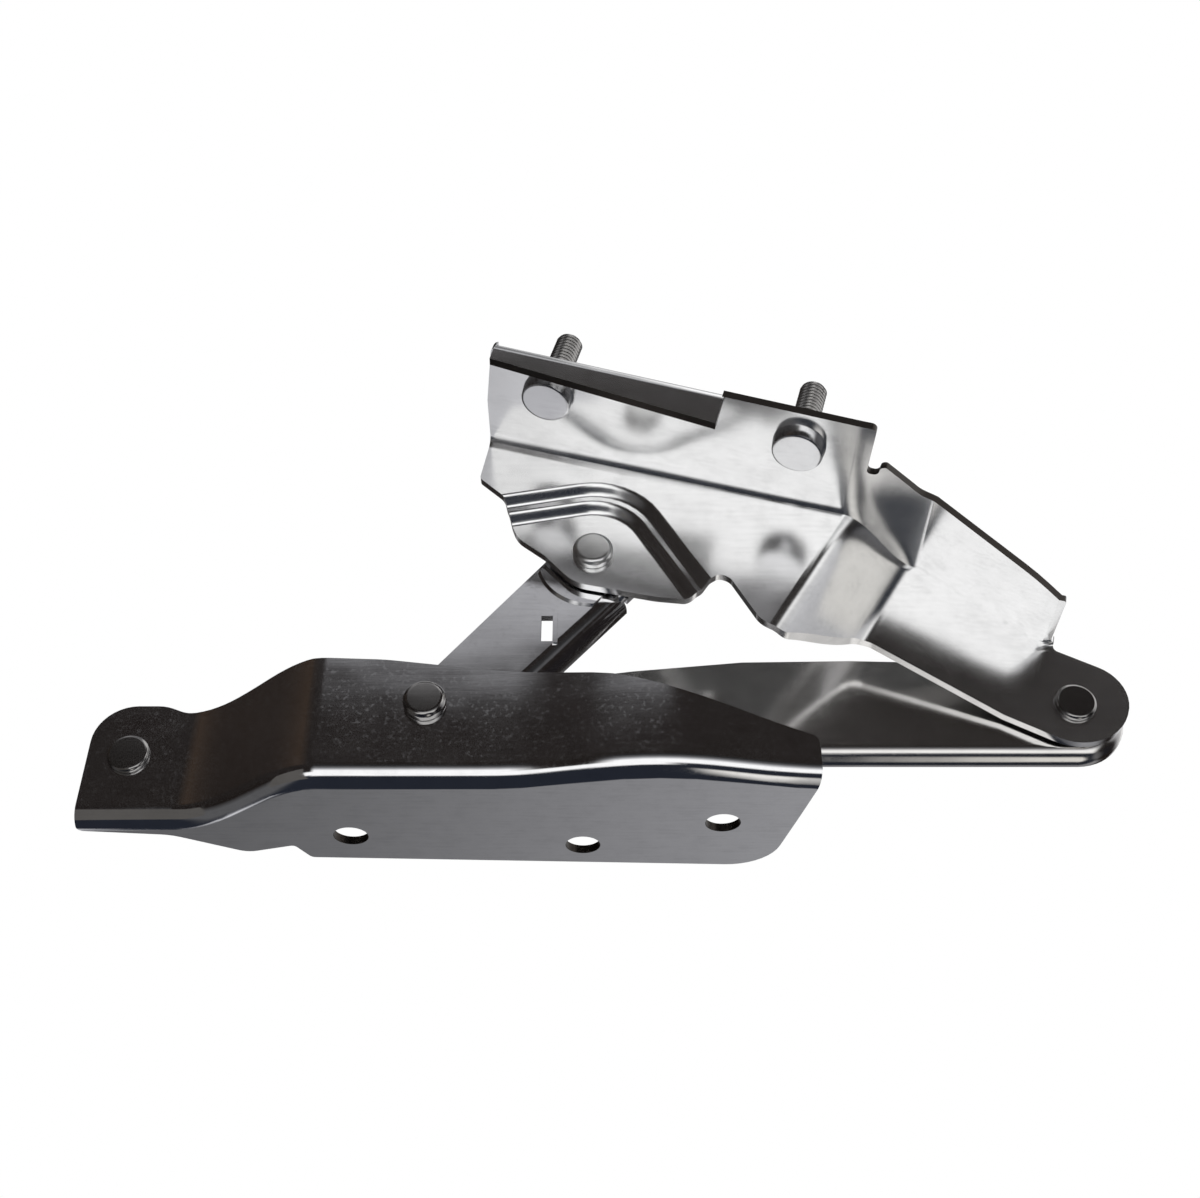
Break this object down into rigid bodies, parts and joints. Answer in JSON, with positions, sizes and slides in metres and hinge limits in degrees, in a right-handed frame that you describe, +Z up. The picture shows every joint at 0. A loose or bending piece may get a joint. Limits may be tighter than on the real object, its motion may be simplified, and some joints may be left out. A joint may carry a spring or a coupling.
{
  "type": "bonnet hinge",
  "caption": "Pressed steel bonnet hinge: a bolted body bracket and a studded bonnet bracket joined by a main arm and a control link on riveted pivots.",
  "frame": {"origin": "axis of the middle body bolt hole, on the underside of the bolt flange", "axes": "+X along the hinge towards the main arm's bonnet pivot, +Y across the hinge away from the bonnet studs, +Z up with the bonnet shut"},
  "size_m": [0.3039, 0.096, 0.135],
  "materials": {
    "zinc_steel": "bright zinc plate with faint drawing marks",
    "rivet_steel": "zinc plated, formed heads",
    "bush_bronze": "plain sintered bronze",
    "washer_steel": "zinc plated",
    "stud_steel": "zinc plated, rolled thread"
  },
  "bodies": {
    "body": {"body_bracket": "zinc_steel", "arm_body_rivet": "rivet_steel", "arm_body_bush": "bush_bronze", "arm_body_thrust_washer": "washer_steel", "arm_body_tail_washer": "washer_steel", "link_body_rivet": "rivet_steel", "link_body_bush": "bush_bronze", "link_body_thrust_washer": "washer_steel", "link_body_tail_washer": "washer_steel"},
    "arm": {"main_arm": "zinc_steel"},
    "link": {"control_link": "zinc_steel"},
    "bonnet": {"bonnet_bracket": "zinc_steel", "link_bonnet_rivet": "rivet_steel", "link_bonnet_bush": "bush_bronze", "link_bonnet_thrust_washer": "washer_steel", "link_bonnet_tail_washer": "washer_steel", "arm_bonnet_rivet": "rivet_steel", "arm_bonnet_bush": "bush_bronze", "arm_bonnet_thrust_washer": "washer_steel", "arm_bonnet_tail_washer": "washer_steel", "rear_stud": "stud_steel", "front_stud": "stud_steel"}
  },
  "joints": [
    {"name": "arm_pivot", "type": "hinge", "parent": "body", "child": "arm", "pos_m": [-0.1307, -0.0091, 0.0213], "axis": [0, -1, 0], "range_deg": [0, 26]},
    {"name": "bonnet_pivot", "type": "hinge", "parent": "arm", "child": "bonnet", "pos_m": [0.145, -0.0091, 0.039], "axis": [0, -1, 0], "range_deg": [0, 15.98]},
    {"name": "link_pivot", "type": "hinge", "parent": "body", "child": "link", "pos_m": [-0.0436, -0.0316, 0.0244], "axis": [0, -1, 0], "range_deg": [0, 23.46]}
  ],
  "couplings": [
    {"joint": "bonnet_pivot", "follows": "arm_pivot", "ratio": 0.61427},
    {"joint": "link_pivot", "follows": "arm_pivot", "ratio": 0.90181}
  ]
}
